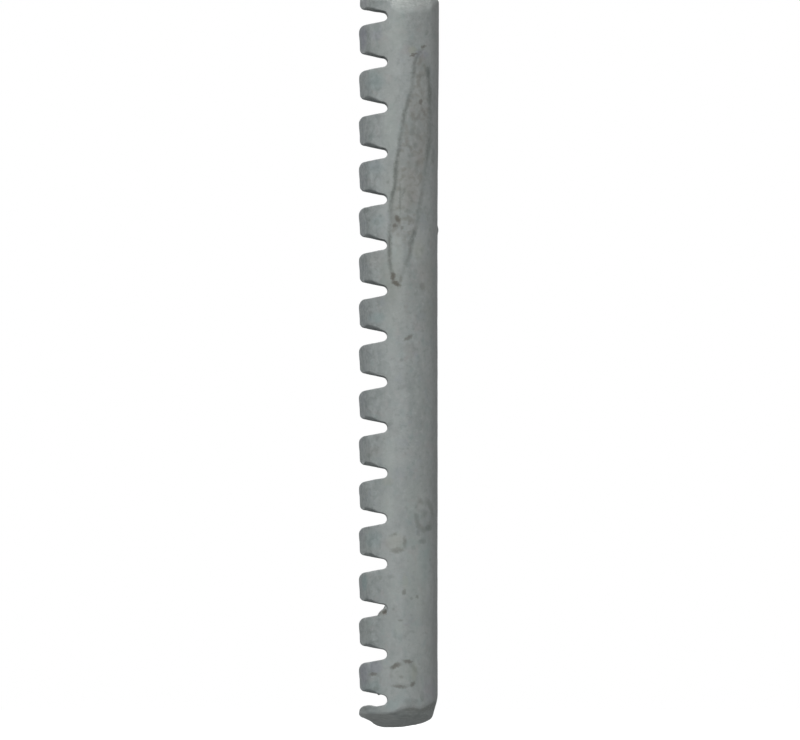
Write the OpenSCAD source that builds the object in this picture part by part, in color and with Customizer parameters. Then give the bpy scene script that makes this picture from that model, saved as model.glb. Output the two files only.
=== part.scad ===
// Round-bar tooth rack: one piece of solid steel bar with a row of rack teeth
// cut into one side. The bar axis is +Z, the teeth point to -X, and the origin
// is the centre of the lower end face. All sizes in millimetres.

/* [Bar] */
// Diameter of the round bar
bar_d = 18; // [17:0.25:20]
// Distance from the bar axis to the flat milled over the tooth tips
tip_x = 8.3; // [8.1:0.02:8.4]

/* [Teeth] */
// Number of tooth gaps cut along the bar
gap_count = 16; // [6:1:20]
// Linear pitch of the teeth along the bar
pitch = 10; // [9:0.5:12]
// Length of bar between each end face and the first gap centre
end_margin = 6; // [5.5:0.25:9]
// Depth of a tooth gap below the tip flat
gap_depth = 6.2; // [5.4:0.05:6.4]
// Width of a tooth gap where its flanks meet the tip flat
gap_w = 4.2; // [4:0.05:4.6]
// Angle of each tooth flank to the line square to the bar
flank_angle = 10.5; // [8:0.5:12]
// Radius on the corners of the tooth tips
tip_r = 0.8; // [0.3:0.1:1]

/* [Ends] */
// Length along the bar of the long chamfer on the lower end
low_chamfer_l = 4.6; // [3:0.1:7]
// Length along the bar of the long chamfer on the upper end
top_chamfer_l = 4.4; // [3:0.1:7]
// Radius of the bar where the long chamfers reach the plane of the end faces
end_r = 7.1; // [6.6:0.1:8]
// Spherical radius of the crown ground on each end
crown_r = 14; // [12:0.5:20]
// Radius of the flat disc left in the middle of each end face
end_flat_r = 3; // [3:0.25:4.5]

/* [Hidden] */
$fn = 96;
eps = 0.5;
bar_r = bar_d / 2;
bar_l = 2 * end_margin + (gap_count - 1) * pitch;
// full-round root that is tangent to both flanks
root_r = (gap_w / 2 * cos(flank_angle) - gap_depth * sin(flank_angle)) / (1 - sin(flank_angle));
// centre of the crown sphere above the end face it makes
crown_z = sqrt(crown_r * crown_r - end_flat_r * end_flat_r);
// flat facets round each tip corner and round half of each gap root
corner_steps = 5;
root_steps = 8;

// what one crown grinds away, as a half section: u is radius, v is height above the end face
module crown_cut() {
    difference() {
        translate([0, -eps]) square([bar_r + eps, 4 + eps]);
        translate([0, crown_z]) circle(r = crown_r);
    }
}

// half section of the bar blank, revolved about the bar axis
module blank_section() {
    difference() {
        polygon([
            [0, 0], [end_r, 0], [bar_r, low_chamfer_l],
            [bar_r, bar_l - top_chamfer_l], [end_r, bar_l], [0, bar_l]
        ]);
        crown_cut();
        translate([0, bar_l]) mirror([0, 1]) crown_cut();
    }
}

// points on an arc about [cu, cv] from angle a0 to a1 in n steps
function arc(cu, cv, r, a0, a1, n) =
    [for (i = [0 : n]) [cu + r * cos(a0 + (a1 - a0) * i / n), cv + r * sin(a0 + (a1 - a0) * i / n)]];

// outline of one half of a tooth gap from the mouth to the root: u is the depth
// below the tip flat, v the distance along the bar from the middle of the gap
corner_v = gap_w / 2 - tip_r * tan(flank_angle) + tip_r / cos(flank_angle);
root_u = gap_depth - root_r;
half_gap = concat(
    [[-2, corner_v]],
    arc(tip_r, corner_v, tip_r, 180, 270 - flank_angle, corner_steps),
    arc(root_u, 0, root_r, 90 - flank_angle, 0, root_steps)
);
gap_points = concat(half_gap, [for (i = [len(half_gap) - 2 : -1 : 0]) [half_gap[i][0], -half_gap[i][1]]]);

module rack_bar() {
    color([0.34, 0.36, 0.35])
    difference() {
        rotate_extrude() blank_section();
        // flat over the tooth tips
        translate([-tip_x - 4, -bar_r - 1, -1]) cube([4, bar_d + 2, bar_l + 2]);
        // tooth gaps, cut straight across the bar
        for (i = [0 : gap_count - 1])
            translate([-tip_x, 0, end_margin + i * pitch])
                rotate([90, 0, 0])
                    translate([0, 0, -bar_r - 1])
                        linear_extrude(height = bar_d + 2) polygon(gap_points);
    }
}

rack_bar();
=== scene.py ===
import math

import bpy
import numpy as np
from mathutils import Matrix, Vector


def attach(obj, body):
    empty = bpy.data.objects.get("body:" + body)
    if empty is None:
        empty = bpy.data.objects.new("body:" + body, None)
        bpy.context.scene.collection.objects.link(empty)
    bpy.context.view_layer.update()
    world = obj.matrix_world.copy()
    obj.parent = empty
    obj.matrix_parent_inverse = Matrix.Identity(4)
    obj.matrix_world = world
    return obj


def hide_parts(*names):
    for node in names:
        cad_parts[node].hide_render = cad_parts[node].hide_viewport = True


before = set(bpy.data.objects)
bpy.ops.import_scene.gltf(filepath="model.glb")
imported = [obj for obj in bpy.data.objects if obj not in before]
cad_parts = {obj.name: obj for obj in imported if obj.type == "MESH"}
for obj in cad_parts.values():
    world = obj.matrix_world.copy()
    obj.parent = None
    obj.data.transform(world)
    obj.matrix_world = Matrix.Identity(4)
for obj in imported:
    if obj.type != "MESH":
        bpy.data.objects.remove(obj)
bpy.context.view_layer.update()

# ---------------------------------------------------------------- sizes, in mm
BAR_R = 9.0
BAR_L = 162.0
PITCH = 10.0
FIRST = 6.0
GAPS = 16
GAP_W = 4.2 / 2
DEPTH = 6.2
ALPHA = math.radians(10.5)
TA, CA, SA = math.tan(ALPHA), math.cos(ALPHA), math.sin(ALPHA)
ROOT_R = (GAP_W * CA - DEPTH * SA) / (1 - SA)
ROOT_U = DEPTH - ROOT_R
CROWN_R = 14.0
CROWN_Z = math.sqrt(CROWN_R**2 - 3.0**2)
CROWN_T = 19.0                               # the upper end is ground flatter
CROWN_TZ = math.sqrt(CROWN_T**2 - 3.0**2)

rng = np.random.default_rng(845)
# each gap a little off its place along the bar
GAP_SHIFT = rng.normal(0, 0.035, GAPS) + np.array(
    [-0.02, 0.05, -0.11, -0.11, -0.22, -0.22, -0.14, -0.18, -0.11, -0.13, -0.13, -0.15, 0.0, 0.02, 0.0, 0.07])
GAP_GROW = rng.normal(0, 0.022, GAPS)       # and a little wide or narrow
GAP_DEEP = rng.normal(0, 0.035, GAPS)
BEVEL = 0.3 * np.clip(rng.normal(0.0, 0.10, GAPS), -0.2, 0.2) + np.array(   # size of the bevel filed on each lower flank, in mm
    [0.78, 0.74, 0.62, 0.80, 0.76, 0.86, 0.74, 0.54, 0.78, 0.68, 0.74, 0.60, 0.68, 0.80, 0.62, 0.44])
BEVEL_K = np.array([0.60] * 6 + [0.54] * 2 + [0.48] * 2 + [0.55] * 5 + [0.42])   # and how fast it dies out towards the root
STRIP = rng.normal(0.0, 0.10, GAPS)


def lattice(seed, scale):
    r = np.random.default_rng(seed)
    return r.uniform(-1, 1, (int(24 / scale) + 4, int(24 / scale) + 4, int(172 / scale) + 4)).astype(np.float32), scale


def noise(lat, x, y, z):
    """Smooth value noise between -1 and 1 on a random lattice."""
    a, s = lat
    out = np.zeros(np.shape(x), np.float32)
    q = [(x + 12) / s, (y + 12) / s, (z + 5) / s]
    i = [np.clip(np.floor(c).astype(np.int32), 0, n - 2) for c, n in zip(q, a.shape)]
    f = [np.clip(c - j, 0, 1) for c, j in zip(q, i)]
    f = [c * c * (3 - 2 * c) for c in f]
    for dx in (0, 1):
        wx = f[0] if dx else 1 - f[0]
        for dy in (0, 1):
            wy = f[1] if dy else 1 - f[1]
            for dz in (0, 1):
                wz = f[2] if dz else 1 - f[2]
                out += wx * wy * wz * a[i[0] + dx, i[1] + dy, i[2] + dz]
    return out


N_WAVE, N_MID, N_FINE, N_EDGE = lattice(1, 7.0), lattice(2, 2.3), lattice(3, 0.9), lattice(4, 1.3)

# height of the chamfer's edge round each end, by angle in degrees from the front
LOW_A = [-180, -150, -120, -90, -62, -40, -16, -4.5, 5, 15, 24, 35, 51, 67, 90, 120, 150, 180]
LOW_Z = [4.3, 3.7, 3.2, 3.0, 2.95, 2.9, 2.75, 3.45, 4.2, 4.6, 4.7, 4.3, 5.5, 6.3, 6.6, 5.4, 4.6, 4.3]
TOP_A = [-180, -140, -100, -62, -30, -14, -8, 0, 11, 26, 49, 58, 80, 110, 150, 180]
TOP_Z = [3.6, 4.0, 3.0, 2.2, 2.2, 2.4, 3.8, 4.6, 5.1, 4.5, 4.1, 3.0, 1.9, 2.2, 3.8, 3.6]
# and its depth there, as the radius left close to the end
LOW_R = ([-180, 50, 67, 115, 140, 180], [7.95, 7.95, 7.74, 7.74, 7.95, 7.95])
TOP_R = ([-180, -100, -62, -14, -8, 49, 60, 110, 150, 180], [7.7, 7.9, 8.1, 8.1, 7.45, 7.45, 8.2, 8.45, 7.6, 7.7])

# metal left in one gap, and how far the ground lower end is cut back: on the tooth side by x, elsewhere by radius
CHIP_X = [-4.6, -4.26, -3.93, -3.71, -3.49, -3.05, -2.72, -2.4, -1.7]
CHIP_Z = [24.14, 24.62, 25.20, 25.46, 25.64, 25.96, 26.56, 27.2, 27.6]
CUT_X = ([-8.6, -7.9, -7.2, -6.6, -5.9, -5.5, -5.2, -4.6, -4.0], [2.70, 2.34, 2.06, 1.77, 1.41, 1.12, 0.80, 0.50, -1.0])
CUT_R = ([0, 0.4, 0.7, 1.35, 2.0, 2.66, 3.3, 4.0, 4.6, 5.3, 5.95, 6.6, 7.3, 8.0],
         [-0.5, 0.0, 0.07, 0.16, 0.24, 0.34, 0.45, 0.54, 0.70, 0.86, 1.10, 1.38, 1.74, 2.1])


def smax(a, b, r):
    u = np.maximum(a + r, 0)
    v = np.maximum(b + r, 0)
    return np.minimum(np.maximum(a, b), -r) + np.sqrt(u * u + v * v)


def smin(a, b, r):
    return -smax(-a, -b, r)


def step(a, b, x):
    t = np.clip((x - a) / (b - a), 0, 1)
    return t * t * (3 - 2 * t)


def gap_of(z):
    i = np.clip(np.rint((z - FIRST) / PITCH), 0, GAPS - 1).astype(np.int32)
    return i, z - (FIRST + PITCH * i) - GAP_SHIFT[i]


def body(x, y, z, rough=True):
    """Distance to the worn bar's surface in mm, negative inside the steel."""
    r = np.sqrt(x * x + y * y)
    phi = np.degrees(np.arctan2(x, -y))
    wave = noise(N_EDGE, x, y, z) if rough else 0.0

    # round bar, with its hand-ground chamfers and crowned ends
    side = r - (BAR_R - 0.06 + 0.30 * step(105, 158, z) * step(1.0, 7.0, x))
    zl = np.interp(phi, LOW_A, LOW_Z) + 0.12 * wave
    rl = np.interp(phi, *LOW_R)
    ml = (BAR_R - rl) / (zl - 2.1)
    zt = np.interp(phi, TOP_A, TOP_Z) + 0.12 * wave
    rt = np.interp(phi, *TOP_R)
    mt = (BAR_R - rt) / (zt - 1.0)
    top = BAR_L - z
    low = (r - rl - (z - 2.1) * ml) / np.sqrt(1 + ml * ml)
    high = (r - rt - (top - 1.0) * mt) / np.sqrt(1 + mt * mt)
    crown_l = np.where(z < CROWN_Z, np.sqrt(r * r + (z - CROWN_Z) ** 2), r) - CROWN_R
    crown_h = np.where(top < CROWN_TZ, np.sqrt(r * r + (top - CROWN_TZ) ** 2), r) - CROWN_T
    d = smax(side, low, 0.22)
    d = smax(d, high, 0.22)
    d = smax(d, crown_l, 0.45)
    d = smax(d, crown_h, 0.45)
    back = np.interp(x, *CUT_X)
    dome = np.where(x > -0.4, np.interp(r, *CUT_R) * step(-0.4, 2.0, x), -1.0)
    d = smax(d, (np.maximum(back, dome) - z) * 0.92, 0.10)
    d = smax(d, -z, 0.12)
    d = smax(d, -top, 0.12)

    # tooth gap nearest in z: v runs along the bar from its middle, u is the depth below the tips
    i, v = gap_of(z)
    tau = np.where(v > 0, v - 2.2, v + PITCH - 2.2) / 5.6
    tip = 8.19 + 0.14 * step(0.35, 0.75, tau) - 0.05 * step(0.75, 1.0, tau)
    u = x + 8.3
    half = GAP_W + GAP_GROW[i]
    lift = np.where((i == 0) & (v < 0), 0.62 * step(4.3, 2.0, u), 0.0)
    lift += np.where((i == GAPS - 1) & (v > 0), 0.13 * step(4.6, 3.4, u) + 0.12 * step(2.2, 1.0, u), 0.0)
    deep = GAP_DEEP[i]
    av = np.abs(v)
    du, dv = u - (ROOT_U + deep), av
    flank = (av - (half - u * TA - lift)) * CA
    round_ = np.sqrt(du * du + dv * dv) - ROOT_R - GAP_GROW[i] * 0.5
    gap = np.where(-CA * du + SA * dv > 0, flank, round_)
    corner = np.where(v > 0, 0.95, 1.15)
    prof = smax(-x - tip, -gap, corner)

    # narrow facet broken along the near edge of each tooth tip, wider at the tooth's lower end
    j = np.where(v > 0, i, np.maximum(i - 1, 0))
    c = 7.93 + 0.62 * np.clip(tau, 0, 1) ** 1.3 + 0.12 * STRIP[j] + (0.05 * wave if rough else 0)
    facet = -0.9659 * x - 0.2588 * y - c
    facet_b = -0.9659 * x + 0.2588 * y - (c + 0.35)
    d = smax(d, facet - 0.04, 1.0)
    d = smax(d, facet_b - 0.04, 1.0)

    d = smax(prof, d, 0.16)

    # bevel filed along the near edge of the lower flank, dying out towards the root
    b0 = BEVEL[i] + (0.05 * wave if rough else 0)
    f = half - u * TA + (b0 - 0.35 * (y + 6.14) - BEVEL_K[i] * (x + 6.5)) - v
    rem = np.maximum(smax(smax(-f / 1.25, x + 2.9, 0.25), -7.1 - x, 0.30), 0.5 - v)
    d = smax(d, -rem, 0.24)
    # the same, smaller, along the far edge
    f = half - u * TA + (-4.75 + 0.35 * y - 0.4717 * x) - v
    rem = np.maximum(np.maximum(-f / 1.25, x + 2.9), 0.5 - v)
    d = smax(d, -rem, 0.07)

    # metal left in the root of one gap, and a nub in another
    chip = 0.72 * (z - np.interp(x, CHIP_X, CHIP_Z)) + 0.25 * step(-6.5, -9.0, y) + 1.7 * step(-5.4, -2.3, y)
    chip = smax(chip, np.abs(z - 25.4) - 1.7, 0.2)
    chip = smax(chip, np.abs(y + 5.2) - 3.1, 0.3)
    chip = smax(chip, np.maximum(-4.7 - x, x + 1.7), 0.1)
    chip = smax(chip, r - 8.93, 0.2)
    d = smin(d, chip + (0.10 * wave if rough else 0), 0.15)
    nub = np.sqrt((x + 4.0) ** 2 + ((y + 6.9) * 0.5) ** 2 + (z - 7.36) ** 2) - 0.26
    d = smin(d, nub, 0.2)

    # knocks on the plain side
    for px, py, pz, pr, lump in ((-6.75, 0.0, 1.15, 0.95, -1), (8.95, -0.6, 109.3, 0.55, 1), (8.9, -1.5, 32.2, 0.9, -1), (8.6, -2.9, 131.0, 0.5, -1),
                                 (-8.1, -2.0, 63.4, 0.5, -1), (2.4, -9.3, 52.0, 0.62, -1), (-8.3, -1.5, 114.4, 0.45, -1),
                                 (-8.2, -1.2, 21.6, 0.5, -1), (6.3, 6.9, 71.0, 0.8, -1), (1.0, 9.4, 118.0, 0.9, -1),
                                 (9.1, 1.9, 88.0, 0.45, -1), (-7.6, 3.1, 84.0, 0.5, -1), (4.9, 7.9, 23.0, 0.7, -1)):
        s = np.sqrt((x - px) ** 2 + (y - py) ** 2 + ((z - pz) * (0.4 if lump > 0 else 0.8)) ** 2)
        if lump > 0:
            d = smin(d, s - 0.11, 0.5)
        else:
            d = smax(d, (pr * 0.55) - s, 0.2)

    if rough:
        teeth = 1 + 0.9 * step(-2.0, -4.5, x)
        d = d + 0.022 * noise(N_WAVE, x, y, z) + teeth * (0.022 * noise(N_MID, x, y, z) + 0.012 * noise(N_FINE, x, y, z))
    return d


def surface_nets(xs, ys, zs):
    shape = (len(xs), len(ys), len(zs))
    f = np.empty(shape, np.float32)
    gx, gy = np.meshgrid(xs, ys, indexing="ij")
    for k0 in range(0, len(zs), 64):
        zz = zs[k0:k0 + 64]
        X = np.broadcast_to(gx[:, :, None], (*gx.shape, len(zz)))
        Y = np.broadcast_to(gy[:, :, None], X.shape)
        Z = np.broadcast_to(zz[None, None, :], X.shape)
        d = body(X, Y, Z, rough=False)
        near = np.abs(d) < 0.9
        d[near] = body(X[near], Y[near], Z[near])
        f[:, :, k0:k0 + 64] = d
    inside = f < 0
    n = np.zeros(tuple(s - 1 for s in shape), np.int8)
    corners = [(a, b, c) for a in (0, 1) for b in (0, 1) for c in (0, 1)]
    for a, b, c in corners:
        n += inside[a:shape[0] - 1 + a, b:shape[1] - 1 + b, c:shape[2] - 1 + c]
    cell = np.argwhere((n > 0) & (n < 8))
    vals = {o: f[cell[:, 0] + o[0], cell[:, 1] + o[1], cell[:, 2] + o[2]] for o in corners}
    axes = (xs, ys, zs)
    pos = {o: np.stack([axes[m][cell[:, m] + o[m]] for m in range(3)], 1) for o in corners}
    acc = np.zeros((len(cell), 3))
    cnt = np.zeros(len(cell))
    for a in corners:
        for m in range(3):
            if a[m]:
                continue
            b = tuple(1 if q == m else a[q] for q in range(3))
            va, vb = vals[a], vals[b]
            hit = (va < 0) != (vb < 0)
            t = (va / np.where(hit, va - vb, 1))[:, None]
            acc += np.where(hit[:, None], pos[a] + t * (pos[b] - pos[a]), 0)
            cnt += hit
    verts = acc / cnt[:, None]
    idx = np.full(n.shape, -1, np.int32)
    idx[cell[:, 0], cell[:, 1], cell[:, 2]] = np.arange(len(cell))
    faces = []
    for m in range(3):
        p, q = [c for c in range(3) if c != m]
        a = [slice(1, s - 1) for s in shape]
        a[m] = slice(0, shape[m] - 1)
        b = list(a)
        b[m] = slice(1, shape[m])
        sa, sb = inside[tuple(a)], inside[tuple(b)]
        e = np.argwhere(sa != sb)
        off = np.array([0 if c == m else 1 for c in range(3)])
        e = e + off
        flip = inside[e[:, 0], e[:, 1], e[:, 2]]
        quad = []
        for dp, dq in ((-1, -1), (0, -1), (0, 0), (-1, 0)):
            g = e.copy()
            g[:, p] += dp
            g[:, q] += dq
            quad.append(idx[g[:, 0], g[:, 1], g[:, 2]])
        quad = np.stack(quad, 1)
        if m == 1:
            flip = ~flip
        quad[~flip] = quad[~flip][:, ::-1]
        faces.append(quad)
    return verts, np.concatenate(faces)


def gradient(p, h=0.02):
    g = np.empty_like(p)
    for m in range(3):
        e = np.zeros(3)
        e[m] = h
        a, b = p + e, p - e
        g[:, m] = (body(a[:, 0], a[:, 1], a[:, 2]) - body(b[:, 0], b[:, 1], b[:, 2])) / (2 * h)
    return g


def settle(p, rounds=2):
    for _ in range(rounds):
        g = gradient(p)
        d = body(p[:, 0], p[:, 1], p[:, 2])
        move = -(d / np.maximum((g * g).sum(1), 0.25))[:, None] * g
        length = np.linalg.norm(move, axis=1, keepdims=True)
        p = p + move * np.minimum(1, 0.12 / np.maximum(length, 1e-9))
    return p


def make_bar():
    hx, hy, hz = ((0.2, 0.27, 0.2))
    xs = np.arange(-8.9, 9.6, hx)
    ys = np.arange(-9.5, 9.6, hy)
    zs = np.arange(-0.5, 162.6, hz) + 0.013
    verts, faces = surface_nets(xs, ys, zs)
    verts = settle(verts, 2)
    me = bpy.data.meshes.new("rack_bar_worn")
    me.vertices.add(len(verts))
    me.vertices.foreach_set("co", (verts / 1000).astype(np.float32).ravel())
    me.loops.add(faces.size)
    me.loops.foreach_set("vertex_index", faces.astype(np.int32).ravel())
    me.polygons.add(len(faces))
    me.polygons.foreach_set("loop_start", np.arange(0, faces.size, 4, dtype=np.int32))
    me.update(calc_edges=True)
    me.validate()
    ob = bpy.data.objects.new("rack_bar_worn", me)
    bpy.context.scene.collection.objects.link(ob)
    tris = 2 * len(faces)
    if tris > 195000:
        thin = ob.modifiers.new("thin", "DECIMATE")
        thin.ratio = 190000 / tris
        dg = bpy.context.evaluated_depsgraph_get()
        less = bpy.data.meshes.new_from_object(ob.evaluated_get(dg), depsgraph=dg)
        ob.modifiers.clear()
        old, ob.data = ob.data, less
        bpy.data.meshes.remove(old)
        less.name = "rack_bar_worn"
    me = ob.data
    co = np.empty(len(me.vertices) * 3, np.float32)
    me.vertices.foreach_get("co", co)
    p = settle(co.reshape(-1, 3).astype(float) * 1000, 1)
    me.vertices.foreach_set("co", (p / 1000).astype(np.float32).ravel())
    me.update()
    g = gradient(p, 0.03)
    g /= np.maximum(np.linalg.norm(g, axis=1, keepdims=True), 1e-9)
    me.polygons.foreach_set("use_smooth", np.ones(len(me.polygons), bool))
    me.normals_split_custom_set_from_vertices(g.tolist())
    print("bar mesh", len(me.vertices), "vertices", len(me.polygons), "faces")
    return ob


bar = make_bar()


# ---------------------------------------------------------------- material
class Nodes:
    """Small helper that writes shader maths as expressions."""

    def __init__(self, mat):
        mat.use_nodes = True
        self.t = mat.node_tree
        self.t.nodes.clear()

    def new(self, kind, **inputs):
        n = self.t.nodes.new(kind)
        for k, v in inputs.items():
            n.inputs[k.replace("_", " ")].default_value = v
        return n

    def link(self, a, b):
        self.t.links.new(a, b)

    def put(self, sock, v):
        if isinstance(v, (int, float)):
            sock.default_value = v
        elif isinstance(v, (tuple, list)):
            sock.default_value = v
        else:
            self.link(v, sock)

    def m(self, op, a, b=0.0, c=0.0, clamp=False):
        n = self.t.nodes.new("ShaderNodeMath")
        n.operation = op
        n.use_clamp = clamp
        for s, v in zip(n.inputs, (a, b, c)):
            self.put(s, v)
        return n.outputs[0]

    def remap(self, v, a, b, lo=0.0, hi=1.0, smooth=True):
        n = self.t.nodes.new("ShaderNodeMapRange")
        n.interpolation_type = "SMOOTHSTEP" if smooth else "LINEAR"
        n.clamp = True
        for s, x in zip(n.inputs[:5], (v, a, b, lo, hi)):
            self.put(s, x)
        return n.outputs[0]

    def noise(self, vec, scale, detail=2.0, rough=0.5, distortion=0.0):
        n = self.t.nodes.new("ShaderNodeTexNoise")
        self.link(vec, n.inputs["Vector"])
        n.inputs["Scale"].default_value = scale
        n.inputs["Detail"].default_value = detail
        n.inputs["Roughness"].default_value = rough
        n.inputs["Distortion"].default_value = distortion
        return n

    def mix(self, f, a, b, mode="MIX"):
        n = self.t.nodes.new("ShaderNodeMix")
        n.data_type = "RGBA"
        n.blend_type = mode
        n.clamp_factor = True
        self.put(n.inputs[0], f)
        self.put(n.inputs[6], a if not isinstance(a, tuple) else (*a, 1.0)[:4])
        self.put(n.inputs[7], b if not isinstance(b, tuple) else (*b, 1.0)[:4])
        return n.outputs[2]

    def curve(self, v, pts, lo, hi):
        """A value read off a smooth curve through pts, (input, output) pairs; outputs lie between lo and hi."""
        a, b = pts[0][0], pts[-1][0]
        n = self.t.nodes.new("ShaderNodeFloatCurve")
        c = n.mapping.curves[0]
        q = [((x - a) / (b - a), (y - lo) / (hi - lo)) for x, y in pts]
        c.points[0].location = q[0]
        c.points[1].location = q[-1]
        for w in q[1:-1]:
            c.points.new(*w)
        n.mapping.update()
        self.put(n.inputs["Value"], self.remap(v, a, b, smooth=False))
        return self.m("MULTIPLY_ADD", n.outputs[0], hi - lo, lo)


def steel():
    mat = bpy.data.materials.new("phosphated_steel")
    k = Nodes(mat)
    tc = k.new("ShaderNodeTexCoord")
    scale = k.t.nodes.new("ShaderNodeVectorMath")
    scale.operation = "SCALE"
    k.link(tc.outputs["Object"], scale.inputs[0])
    scale.inputs["Scale"].default_value = 1000.0
    P = scale.outputs[0]                     # millimetres
    sep = k.new("ShaderNodeSeparateXYZ")
    k.link(P, sep.inputs[0])
    X, Y, Z = sep.outputs
    stretch = k.new("ShaderNodeMapping")
    k.link(P, stretch.inputs["Vector"])
    stretch.inputs["Scale"].default_value = (1.0, 1.0, 0.35)
    PS = stretch.outputs[0]

    big = k.noise(P, 0.16, 3.0, 0.55)
    big2 = k.noise(PS, 0.30, 3.0, 0.6, 0.4)
    mid = k.noise(P, 0.95, 4.0, 0.6, 0.3)
    fine = k.noise(P, 4.2, 3.0, 0.62)
    grain = k.noise(P, 11.0, 2.0, 0.6)
    tint = k.noise(P, 0.42, 2.0, 0.5, 0.5)

    # grey-green phosphate, mottled at three sizes
    base = k.mix(k.remap(big.outputs[0], 0.32, 0.70), (0.225, 0.246, 0.238), (0.262, 0.282, 0.272))
    base = k.mix(k.remap(big2.outputs[0], 0.35, 0.68), base, (0.288, 0.305, 0.297))
    patchy = k.remap(Z, 20, 75, 0.34, 0.55)
    base = k.mix(k.m("MULTIPLY", k.remap(mid.outputs[0], 0.52, 0.70), patchy), base, (0.190, 0.208, 0.202))
    base = k.mix(k.m("MULTIPLY", k.remap(mid.outputs[0], 0.48, 0.30), patchy), base, (0.315, 0.332, 0.324))
    # faint blue-green and red-grey patches
    sepc = k.new("ShaderNodeSeparateColor")
    k.link(tint.outputs["Color"], sepc.inputs[0])
    base = k.mix(k.remap(sepc.outputs[0], 0.52, 0.72, 0.0, 0.38), base, (0.205, 0.258, 0.248))
    base = k.mix(k.remap(sepc.outputs[1], 0.54, 0.74, 0.0, 0.42), base, (0.272, 0.254, 0.250))
    base = k.mix(k.remap(sepc.outputs[2], 0.56, 0.76, 0.0, 0.34), base, (0.232, 0.252, 0.280))
    # crystals
    base = k.mix(k.remap(fine.outputs[0], 0.52, 0.72, 0.0, 0.30), base, (0.175, 0.190, 0.186))
    base = k.mix(k.remap(grain.outputs[0], 0.55, 0.78, 0.0, 0.30), base, (0.36, 0.375, 0.37))

    # teeth darker and bluer than the bar behind their roots
    teeth = k.remap(X, -2.6, -4.6)
    base = k.mix(k.m("MULTIPLY", teeth, 0.34), base, (0.212, 0.234, 0.230))
    blotch = k.noise(P, 0.62, 4.0, 0.62, 0.6)
    base = k.mix(k.m("MULTIPLY", teeth, k.remap(blotch.outputs[0], 0.50, 0.70, 0.0, 0.46)), base, (0.138, 0.152, 0.152))
    base = k.mix(k.m("MULTIPLY", teeth, k.remap(blotch.outputs[0], 0.49, 0.34, 0.0, 0.50)), base, (0.315, 0.340, 0.332))
    # painted highlight: a lighter band along the front just behind the tooth roots, where the round bar faces the light
    painted_front_highlight = k.m("MULTIPLY", k.remap(X, -4.6, -2.0), k.remap(X, 4.0, -0.8))
    base = k.mix(k.m("MULTIPLY", painted_front_highlight, 0.30), base, (0.318, 0.336, 0.328))
    # brown-grey towards the right side
    base = k.mix(k.m("MULTIPLY", k.remap(X, 2.4, 6.6), 0.26), base, (0.234, 0.235, 0.220))

    # heat tint on the tooth tips
    tips = k.m("MULTIPLY", k.remap(X, -6.2, -7.6), k.remap(sepc.outputs[1], 0.42, 0.58))
    base = k.mix(k.m("MULTIPLY", tips, 0.22), base, (0.225, 0.232, 0.268))
    spot = k.noise(P, 1.25, 3.0, 0.6)
    tooth_end = k.remap(X, -5.9, -7.0)
    base = k.mix(k.m("MULTIPLY", tooth_end, k.remap(spot.outputs[0], 0.50, 0.68, 0.0, 0.42)), base, (0.130, 0.142, 0.140))
    base = k.mix(k.m("MULTIPLY", tooth_end, k.remap(spot.outputs[0], 0.50, 0.34, 0.15, 0.60)), base, (0.330, 0.350, 0.345))

    # ---- marks on the front, drawn from distances in the X-Z plane
    front = k.remap(Y, -0.5, -2.5)
    wob = k.noise(P, 0.55, 2.0, 0.5)
    wob2 = k.noise(P, 2.2, 2.0, 0.5)
    wsep = k.new("ShaderNodeSeparateColor")
    k.link(wob2.outputs["Color"], wsep.inputs[0])
    wx = k.m("ADD", X, k.m("MULTIPLY", k.m("SUBTRACT", wob.outputs[0], 0.5), 0.5))
    WX = k.m("MULTIPLY_ADD", k.m("SUBTRACT", wsep.outputs[0], 0.5), 0.85, X)
    WZ = k.m("MULTIPLY_ADD", k.m("SUBTRACT", wsep.outputs[1], 0.5), 0.85, Z)

    def px(x):
        return (x - 396.9) / 4.552

    def pz(y):
        return (727.4 - y) / 4.552

    def blots(spots, soft=False):
        """Patches as (x, y, half width, half height, turn, strength), merged into one mask."""
        out = None
        for cx, cy, rx, ry, turn, amount in spots:
            c, q = math.cos(math.radians(turn)), math.sin(math.radians(turn))
            ax, az, x0, z0 = rx / 4.552, ry / 4.552, px(cx), pz(cy)
            a = k.m("MULTIPLY_ADD", WX, c / ax, k.m("MULTIPLY_ADD", WZ, q / ax, -(x0 * c + z0 * q) / ax))
            b = k.m("MULTIPLY_ADD", WX, -q / az, k.m("MULTIPLY_ADD", WZ, c / az, (x0 * q - z0 * c) / az))
            dd = k.m("MULTIPLY_ADD", a, a, k.m("MULTIPLY", b, b))
            one = k.remap(dd, 2.0 if soft else 2.5, 0.0, 0.0, 0.62 * amount if soft else 0.9 * amount)
            out = one if out is None else k.m("MAXIMUM", out, one)
        return k.m("MULTIPLY", out, front)

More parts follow.
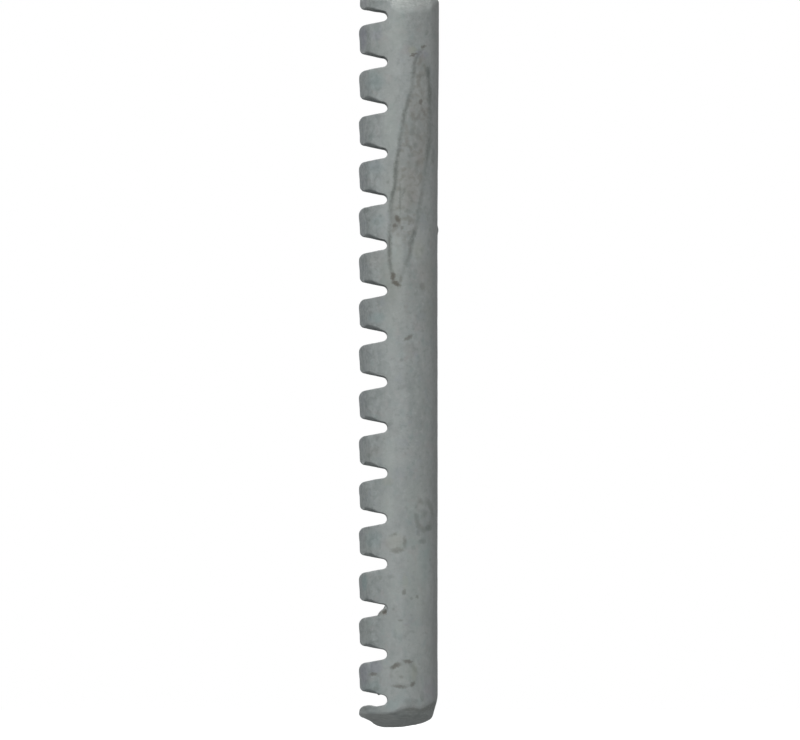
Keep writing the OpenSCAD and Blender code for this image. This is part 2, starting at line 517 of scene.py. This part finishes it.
    # broad tints
    base = k.mix(blots([(411, 185, 7, 24, 0, 0.50), (419, 152, 6, 20, 0, 0.35), (424, 275, 8, 16, 0, 0.32), (415, 105, 6, 14, 0, 0.25),
                        (375, 260, 8, 9, 0, 0.35), (374, 452, 7, 5, 0, 0.35), (410, 350, 7, 6, 0, 0.3)], True), base, (0.245, 0.225, 0.205))
    base = k.mix(blots([(399, 190, 13, 26, 0, 0.42), (391, 281, 11, 26, 0, 0.62), (397, 292, 16, 34, 0, 0.30), (382, 50, 14, 26, 0, 0.22),
                        (392, 92, 7, 22, 0, 0.2), (431, 300, 5, 40, 0, 0.35)], True), base, (0.212, 0.224, 0.194))
    base = k.mix(blots([(397, 249, 6, 15, 0, 0.45), (399, 205, 6, 14, 0, 0.18), (398, 30, 8, 22, 0, 0.40), (390, 130, 7, 24, 0, 0.38),
                        (392, 330, 6, 22, 0, 0.18), (389, 455, 6, 22, 0, 0.32), (388, 508, 6, 14, 0, 0.42), (395, 590, 6, 12, 0, 0.25),
                        (399, 629, 5, 6, 0, 0.35), (415, 500, 10, 20, 0, 0.34), (417, 572, 11, 44, 0, 0.40), (414, 648, 10, 22, 0, 0.20),
                        (365, 560, 5, 30, 0, 0.42), (365, 640, 5, 34, 0, 0.36), (365, 470, 5, 26, 0, 0.34), (416, 90, 10, 14, 0, 0.2),
                        (364, 80, 5, 30, 0, 0.25)], True), base, (0.345, 0.375, 0.345))
    base = k.mix(blots([(412.5, 51.5, 4, 4, 0, 0.55), (396, 543, 9, 9, 0, 0.32), (404, 674, 12, 11, 0, 0.16), (414, 672, 3, 9, 0, 0.40),
                        (405, 582, 3, 8, 0, 0.30), (418, 250, 6, 9, 0, 0.28), (388, 482, 6, 4, 0, 0.3)], True), base, (0.272, 0.278, 0.205))
    base = k.mix(blots([(421, 55, 7, 4, 0, 0.50), (363, 38, 3.5, 11, 0, 0.60), (376, 36, 6, 5, 0, 0.40), (375, 667, 7, 6, 0, 0.50),
                        (364, 672, 4, 12, 0, 0.50), (429, 690, 6, 12, 0, 0.25), (364, 3, 3, 5, 0, 0.6), (376, 166, 5, 6, 0, 0.2)], True),
                 base, (0.222, 0.215, 0.268))
    base = k.mix(blots([(364.5, 583, 2.6, 8, 0, 0.70), (375, 82, 9, 8, 0, 0.42), (374, 540, 8, 8, 0, 0.40), (378, 222, 7, 7, 0, 0.35),
                        (377, 318, 8, 5, 0, 0.40), (392, 705, 8, 5, 0, 0.45), (402, 700, 10, 4, 0, 0.30), (424, 560, 6, 24, 0, 0.30),
                        (376, 168, 8, 7, 0, 0.3), (372, 688, 9, 6, 0, 0.4)], True), base, (0.190, 0.262, 0.262))

    base = k.mix(blots([(367, 710, 9, 5, 0, 0.40), (372, 704, 12, 6, 0, 0.15), (377, 3, 9, 4, 0, 0.5)], True), base, (0.150, 0.166, 0.158))

    # long leaf-shaped rub mark: its two edges, as x along the bar, each with its own strength
    left = [(48, 423.5), (54, 419), (58, 416.5), (66, 414), (75, 413), (85, 412), (92, 411), (98, 408.4), (105, 407), (113, 404.6),
            (122, 403.3), (132, 401.4), (141, 399.8), (151, 398.6), (168, 395.6), (187, 394.8), (196, 392.3), (204, 390.9),
            (222, 390), (240, 389.4), (260, 389.5), (270, 390.8), (282, 393)]
    left_s = [(48, 0.3), (60, 0.60), (74, 0.70), (85, 0.5), (97, 0.70), (106, 0.66), (114, 0.9), (125, 0.62), (140, 0.66), (165, 0.95),
              (175, 0.95), (187, 0.95), (198, 0.86), (210, 0.75), (224, 0.45), (240, 0.95), (250, 0.90), (262, 0.8), (272, 0.5), (282, 0.0)]
    right = [(48, 424), (66, 427.5), (73, 428), (90, 429.5), (105, 430), (125, 429.8), (145, 428.5), (160, 426.5), (175, 424.5),
             (195, 421.6), (210, 419), (222, 417.1), (235, 413.4), (245, 411), (255, 409.3), (265, 405.5), (275, 402), (288, 397.5)]
    right_s = [(48, 0.0), (66, 0.2), (72, 0.9), (80, 0.7), (92, 0.95), (104, 0.70), (118, 0.60), (135, 0.6), (145, 0.85), (165, 0.45),
               (185, 0.3), (196, 0.48), (212, 0.5), (225, 0.45), (236, 1.0), (247, 0.8), (256, 0.50), (266, 0.36), (275, 0.3), (288, 0.0)]
    lp = sorted((pz(a), px(b)) for a, b in left)
    rp = sorted((pz(a), px(b)) for a, b in right)
    wl = k.m("MULTIPLY_ADD", k.m("SUBTRACT", wsep.outputs[2], 0.5), 0.70, X)
    xl = k.curve(Z, lp, -2.0, 9.0)
    xr = k.curve(Z, rp, -2.0, 9.0)
    sl = k.curve(Z, sorted((pz(a), b) for a, b in left_s), 0.0, 1.0)
    sr = k.curve(Z, sorted((pz(a), b) for a, b in right_s), 0.0, 1.0)
    zin = k.m("MULTIPLY", k.remap(Z, lp[0][0] - 0.2, lp[0][0] + 0.6), k.remap(Z, lp[-1][0] + 0.2, lp[-1][0] - 0.6))
    dl = k.m("ABSOLUTE", k.m("SUBTRACT", wl, xl))
    dr = k.m("ABSOLUTE", k.m("SUBTRACT", wl, xr))
    breaks = k.m("MULTIPLY", k.remap(wob.outputs[0], 0.36, 0.56, 0.85, 1.0), k.remap(spot.outputs[0], 0.34, 0.56, 0.62, 1.0))
    line_l = k.m("MULTIPLY", k.remap(dl, 0.80, 0.02), sl)
    line_r = k.m("MULTIPLY", k.remap(dr, 0.86, 0.02), sr)
    line = k.m("MULTIPLY", k.m("MULTIPLY", k.m("MAXIMUM", line_l, line_r), zin), breaks)
    line = k.m("MULTIPLY", line, front)
    inside = k.m("MULTIPLY", k.remap(k.m("SUBTRACT", wx, xl), -0.2, 0.8), k.remap(k.m("SUBTRACT", xr, wx), -0.2, 0.8))
    inside = k.m("MULTIPLY", k.m("MULTIPLY", inside, zin), front)
    base = k.mix(k.m("MULTIPLY", inside, k.remap(Z, 104, 112, 0.0, 0.24)), base, (0.225, 0.222, 0.205))
    patch = k.noise(P, 0.75, 2.0, 0.45, 0.3)
    base = k.mix(k.m("MULTIPLY", k.m("MULTIPLY", inside, k.remap(Z, 102, 110)), k.remap(patch.outputs[0], 0.44, 0.74, 0.0, 0.55)),
                 base, (0.165, 0.158, 0.138))
    base = k.mix(k.m("MULTIPLY", line, 0.90), base, (0.106, 0.115, 0.103))

    def ring(cx, cy, rx, ry, width, seed, lo=0.42, hi=0.60):
        """A broken ring about the point at cx, cy."""
        ax = k.m("DIVIDE", k.m("SUBTRACT", WX, px(cx)), rx / 4.552)
        az = k.m("DIVIDE", k.m("SUBTRACT", WZ, pz(cy)), ry / 4.552)
        dist = k.m("SQRT", k.m("ADD", k.m("MULTIPLY", ax, ax), k.m("MULTIPLY", az, az)))
        off = k.m("ABSOLUTE", k.m("SUBTRACT", dist, 1.0))
        w = width / rx
        shift = k.t.nodes.new("ShaderNodeVectorMath")
        shift.operation = "ADD"
        k.link(P, shift.inputs[0])
        shift.inputs[1].default_value = (seed * 3.7, seed * 1.3, seed * 5.1)
        gaps = k.noise(shift.outputs[0], 0.42, 1.0, 0.5)
        edge = k.m("MULTIPLY", k.remap(off, w, w * 0.1), k.remap(gaps.outputs[0], lo, hi))
        return k.m("MULTIPLY", edge, front)

    for (cx, cy, rx, ry, width, seed, lo, hi), amount in (((403.5, 674, 12, 12, 3.2, 1.0, 0.30, 0.62), 0.30),
                                                         ((399.6, 629.5, 8, 9, 2.6, 2.3, 0.40, 0.75), 0.22),
                                                         ((424, 515.5, 8.0, 14.5, 3.2, 4.0, 0.30, 0.58), 0.46),
                                                         ((396, 543.5, 9.5, 9, 3.0, 5.2, 0.35, 0.70), 0.28)):
        base = k.mix(k.m("MULTIPLY", ring(cx, cy, rx, ry, width, seed, lo, hi), amount), base, (0.130, 0.140, 0.126))

    # brown and grey stains; the grey spot at 410.5, 702 is painted shade that carries the lower end's dark edge further
    # up
    grey_stains_and_end_shade = [(428, 73, 1.6, 4.5, 0, 0.5), (403, 194, 1.3, 5, -20, 0.45), (410, 198, 1.4, 4, 25, 0.40), (408, 212, 3, 2, 0, 0.42),
            (412, 133, 2.4, 3, 0, 0.45), (415, 146, 2, 2.6, 0, 0.45), (408, 146, 1.8, 2, 0, 0.35), (411, 156, 3, 2, 0, 0.38),
            (416, 169, 1.6, 6, 0, 0.32), (433, 157, 1.5, 7, 0, 0.45), (400, 199, 1.0, 14, 0, 0.50), (418, 134, 1.6, 5, 0, 0.30),
            (421, 76, 4, 1.2, 0, 0.28), (427, 33, 1.6, 2.2, 0, 0.38), (408, 5, 2.6, 1.8, 20, 0.40), (379, 60, 5, 1.4, -14, 0.25),
            (428.5, 528, 2.6, 2.6, 0, 0.55), (422, 541.5, 3.4, 2.4, 0, 0.55), (418, 533, 1.6, 3.4, 0, 0.40), (424, 514, 3, 4, 0, 0.30),
            (380, 578, 1.8, 2.2, 0, 0.40), (391, 577, 3, 1.6, 0, 0.30), (413, 548, 2.2, 2, 0, 0.30), (374, 642, 4, 1.4, 12, 0.45),
            (372, 632, 4, 1.2, 20, 0.30), (369, 708, 4, 1.6, 0, 0.22), (376, 707, 3, 1.6, 0, 0.22), (410.5, 702, 6, 3, 0, 0.34), (422, 697, 2, 4, 0, 0.32),
            (375, 689, 3.4, 2, 0, 0.45), (366, 211, 2.4, 2.2, 0, 0.5), (377, 223, 2.2, 2.6, 0, 0.35), (364, 150, 1.6, 2, 0, 0.4),
            (380, 545, 1.2, 4, 0, 0.25), (412, 632, 3, 1.2, 0, 0.25), (395, 634, 1.6, 4, 0, 0.22), (389, 425, 3, 1.6, 20, 0.35),
            (369, 456, 2.6, 2, -30, 0.35), (401, 388, 3, 2, 0, 0.25)]
    brown = [(413.3, 55.8, 3.4, 1.1, 22, 0.80), (423.4, 47.5, 2.5, 1.3, 25, 0.85), (420.5, 102.5, 1.5, 2.8, 0, 0.72),
             (421.5, 109, 1.2, 4.0, 0, 0.30), (417.5, 118, 1.5, 5, -32, 0.34), (425.5, 116, 1.6, 4, 40, 0.26), (421.5, 112.5, 3, 1.3, 0, 0.3),
             (397.3, 219.5, 2.2, 3.4, 24, 1.0), (395.5, 222, 4.0, 6.5, 10, 0.35), (395, 226.5, 2.8, 1.7, 0, 0.85), (402, 228.5, 1.8, 1.4, 0, 0.50),
             (392.9, 277.5, 1.9, 3.9, 0, 1.0), (396.2, 284.3, 4.2, 1.9, -25, 1.0), (400.2, 280.5, 1.3, 3.4, -10, 0.42),
             (408, 338.5, 4.6, 1.6, 34, 0.66), (395.2, 666, 4.6, 2.1, 25, 0.75), (407.8, 661.4, 4.0, 1.5, -5, 0.72),
             (399, 686.6, 6.2, 1.5, -6, 0.62), (412.6, 684, 2.6, 1.6, 35, 0.72), (373.5, 674.4, 3.2, 1.6, 0, 0.68),
             (401.3, 677, 1.5, 1.2, 0, 0.35), (384.2, 612.6, 2.2, 2.4, 0, 0.95), (381.5, 613.2, 3.4, 2.6, 20, 0.45), (396.5, 550.3, 5.0, 2.2, 12, 0.42),
             (404.3, 541.5, 1.6, 4.6, 0, 0.36), (395, 534.5, 1.7, 1.2, 0, 0.36), (403.8, 592.5, 1.6, 2.4, -30, 0.52),
             (417, 597, 1.5, 1.2, 0, 0.45), (422, 287, 2.6, 3.6, 0, 0.35), (400.5, 620.5, 1.8, 1.1, 0, 0.4)]
    base = k.mix(blots(grey_stains_and_end_shade), base, (0.128, 0.142, 0.132))
    base = k.mix(blots(brown), base, (0.102, 0.094, 0.078))

    # a few dark specks
    vor = k.new("ShaderNodeTexVoronoi")
    vor.feature = "F1"
    k.link(P, vor.inputs["Vector"])
    vor.inputs["Scale"].default_value = 0.30
    vor.inputs["Randomness"].default_value = 1.0
    speck = k.m("MULTIPLY", k.remap(vor.outputs["Distance"], 0.16, 0.05), k.remap(big.outputs[0], 0.42, 0.60))
    base = k.mix(k.m("MULTIPLY", speck, 0.32), base, (0.135, 0.140, 0.130))

    # painted shade: darker band where the bar turns away from the light
    base = k.mix(k.m("MULTIPLY", k.remap(X, 6.9, 8.5), 0.36), base, (0.175, 0.168, 0.162))

    # ground ends, told from the round bar by their smaller radius: painted shade darkens the lower end and more so
    # towards its right side, its very tip is lighter, and a painted highlight lightens the upper end
    R = k.m("SQRT", k.m("MULTIPLY_ADD", X, X, k.m("MULTIPLY", Y, Y)))
    cut = k.remap(R, 8.86, 8.66)
    low = k.m("MAXIMUM", k.m("MULTIPLY", k.remap(R, 8.89, 8.73), k.remap(Z, 8.0, 7.2)), k.remap(Z, 2.9, 2.2))
    # painted shade on the lower end, varied by the blotch noise
    low_end_painted_shade = k.m("MULTIPLY", low, k.remap(blotch.outputs[0], 0.30, 0.60, 0.62, 1.0))
    base = k.mix(k.m("MULTIPLY", low_end_painted_shade, 0.34), base, (0.180, 0.190, 0.176))
    # more painted shade towards the right side of the lower end
    base = k.mix(k.m("MULTIPLY", k.m("MULTIPLY", low, k.remap(X, -0.5, 3.5)), k.remap(Z, 3.0, 4.2, 0.12, 0.50)), base, (0.140, 0.145, 0.128))
    late = k.m("MULTIPLY_ADD", k.remap(X, -2.4, 0.8), 1.5, Z)
    base = k.mix(k.m("MULTIPLY", low, k.remap(late, 4.2, 2.7, 0.0, 0.53)), base, (0.46, 0.475, 0.455))
    # painted highlight on the upper end's chamfer, where it faces the light
    high = k.m("MAXIMUM", k.m("MULTIPLY", cut, k.remap(Z, 155.5, 156.5)), k.remap(Z, 160.2, 160.8))
    base = k.mix(k.m("MULTIPLY", k.m("MULTIPLY", high, front), k.remap(mid.outputs[0], 0.35, 0.6, 0.66, 0.26)), base, (0.348, 0.362, 0.345))
    # streaks left by the wheel on both ends
    wheel = k.t.nodes.new("ShaderNodeMapping")
    k.link(P, wheel.inputs["Vector"])
    wheel.inputs["Rotation"].default_value = (0.0, 0.0, math.radians(14))
    wheel.inputs["Scale"].default_value = (0.22, 1.15, 2.2)
    streak = k.noise(wheel.outputs[0], 1.7, 3.0, 0.62)
    ground = k.m("MAXIMUM", low, high)
    base = k.mix(k.m("MULTIPLY", ground, k.remap(streak.outputs[0], 0.40, 0.64, 0.0, 0.26)), base, (0.165, 0.177, 0.165))
    base = k.mix(k.m("MULTIPLY", ground, k.remap(streak.outputs[0], 0.50, 0.30, 0.0, 0.22)), base, (0.400, 0.412, 0.396))

    # rubbed edges, from the curvature of the surface itself
    bev = k.new("ShaderNodeNewGeometry")
    worn = k.m("MULTIPLY", k.remap(bev.outputs["Pointiness"], 0.515, 0.56), k.remap(mid.outputs[0], 0.40, 0.62))
    base = k.mix(k.m("MULTIPLY", worn, 0.25), base, (0.36, 0.37, 0.365))

    # height
    h = k.m("MULTIPLY", fine.outputs[0], 0.5)
    h = k.m("ADD", h, k.m("MULTIPLY", grain.outputs[0], 0.25))
    h = k.m("ADD", h, k.m("MULTIPLY", mid.outputs[0], 1.3))
    h = k.m("SUBTRACT", h, k.m("MULTIPLY", speck, 0.6))
    h = k.m("ADD", h, k.m("MULTIPLY", k.m("MULTIPLY", ground, streak.outputs[0]), 1.6))
    bump = k.new("ShaderNodeBump")
    bump.inputs["Strength"].default_value = 0.55
    bump.inputs["Distance"].default_value = 0.00006
    k.link(h, bump.inputs["Height"])

    rough = k.remap(mid.outputs[0], 0.3, 0.7, 0.52, 0.66, smooth=False)
    rough = k.m("ADD", rough, k.m("MULTIPLY", k.m("SUBTRACT", grain.outputs[0], 0.5), 0.16))
    bsdf = k.new("ShaderNodeBsdfPrincipled")
    k.link(base, bsdf.inputs["Base Color"])
    k.link(rough, bsdf.inputs["Roughness"])
    bsdf.inputs["Metallic"].default_value = 0.35
    bsdf.inputs["Specular IOR Level"].default_value = 0.35
    k.link(bump.outputs[0], bsdf.inputs["Normal"])
    out = k.new("ShaderNodeOutputMaterial")
    k.link(bsdf.outputs[0], out.inputs["Surface"])
    return mat


mat = steel()
bar.data.materials.clear()
bar.data.materials.append(mat)
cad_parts["rack_bar"].data.materials.clear()
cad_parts["rack_bar"].data.materials.append(mat)
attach(bar, "root")
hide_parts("rack_bar")


# ---------------------------------------------------------------- stage
def plain(name, colour, strength):
    m = bpy.data.materials.new(name)
    k = Nodes(m)
    e = k.new("ShaderNodeEmission")
    e.inputs["Color"].default_value = (*colour, 1)
    e.inputs["Strength"].default_value = strength
    o = k.new("ShaderNodeOutputMaterial")
    k.link(e.outputs[0], o.inputs["Surface"])
    return m


def pale_floor():
    m = bpy.data.materials.new("stage_floor")
    k = Nodes(m)
    e = k.new("ShaderNodeEmission")
    e.inputs["Strength"].default_value = 0.80
    df = k.new("ShaderNodeBsdfDiffuse")
    df.inputs["Color"].default_value = (0.5, 0.5, 0.5, 1)
    add = k.new("ShaderNodeAddShader")
    k.link(e.outputs[0], add.inputs[0])
    k.link(df.outputs[0], add.inputs[1])
    o = k.new("ShaderNodeOutputMaterial")
    k.link(add.outputs[0], o.inputs["Surface"])
    return m


def sheet(name, corners, m):
    me = bpy.data.meshes.new(name)
    me.from_pydata(corners, [], [(0, 1, 2, 3)])
    ob = bpy.data.objects.new(name, me)
    bpy.context.scene.collection.objects.link(ob)
    me.materials.append(m)
    ob.visible_diffuse = ob.visible_glossy = ob.visible_shadow = False
    return ob


white = plain("stage_white", (1, 1, 1), 1.0)
sheet("floor", [(-9, -9, -0.0002), (9, -9, -0.0002), (9, 9, -0.0002), (-9, 9, -0.0002)], pale_floor())
sheet("backdrop", [(-9, 9, -2), (9, 9, -2), (9, 9, 9), (-9, 9, 9)], white)

world = bpy.data.worlds.new("studio")
bpy.context.scene.world = world
world.use_nodes = True
wt = world.node_tree
wt.nodes["Background"].inputs["Color"].default_value = (0.95, 0.975, 1.0, 1)
sky = wt.nodes.new("ShaderNodeTexCoord")
part = wt.nodes.new("ShaderNodeSeparateXYZ")
wt.links.new(sky.outputs["Generated"], part.inputs[0])
grade = wt.nodes.new("ShaderNodeMapRange")
grade.interpolation_type = "SMOOTHSTEP"
wt.links.new(part.outputs[2], grade.inputs[0])
for slot, value in zip(grade.inputs[1:5], (-0.50, 0.25, 0.28, 0.52)):
    slot.default_value = value
wt.links.new(grade.outputs[0], wt.nodes["Background"].inputs["Strength"])


def area(name, at, look, size, power, colour=(1, 1, 1)):
    li = bpy.data.lights.new(name, "AREA")
    li.shape = "RECTANGLE"
    li.size, li.size_y = size
    li.energy = power
    li.color = colour
    ob = bpy.data.objects.new(name, li)
    ob.location = at
    ob.rotation_euler = (Vector(look) - Vector(at)).to_track_quat("-Z", "Y").to_euler()
    bpy.context.scene.collection.objects.link(ob)
    return ob


mid = (0, 0, 0.081)
area("key", (-0.32, -0.85, 1.60), mid, (1.8, 0.9), 26.0)
area("front", (-0.10, -1.9, 0.45), mid, (1.2, 0.8), 8.0)
area("left", (-1.6, -0.7, 0.4), mid, (0.7, 0.8), 4.2)
area("right", (1.6, -0.7, 0.4), mid, (0.7, 0.8), 3.4)

# ---------------------------------------------------------------- camera
DIST = 5.0
PXMM = 4.552
AZ = math.radians(-0.2)
cam_data = bpy.data.cameras.new("cam")
cam = bpy.data.objects.new("cam", cam_data)
bpy.context.scene.collection.objects.link(cam)
cam_data.sensor_fit = "HORIZONTAL"
cam_data.sensor_width = 36.0
wide = 800 / PXMM / 1000
cam_data.lens = 36.0 * DIST / wide
ZC = 0.006
cam.location = (DIST * math.sin(AZ), -DIST * math.cos(AZ), ZC)
aim = Vector((3.1 / PXMM / 1000, 0, (727.4 - 370) / PXMM / 1000))
cam.rotation_euler = (aim - cam.location).to_track_quat("-Z", "Y").to_euler()
cam_data.clip_end = 50
cam_data.clip_start = 0.05
bpy.context.scene.camera = cam

vs = bpy.context.scene.view_settings
vs.view_transform = "Standard"
vs.look = "None"
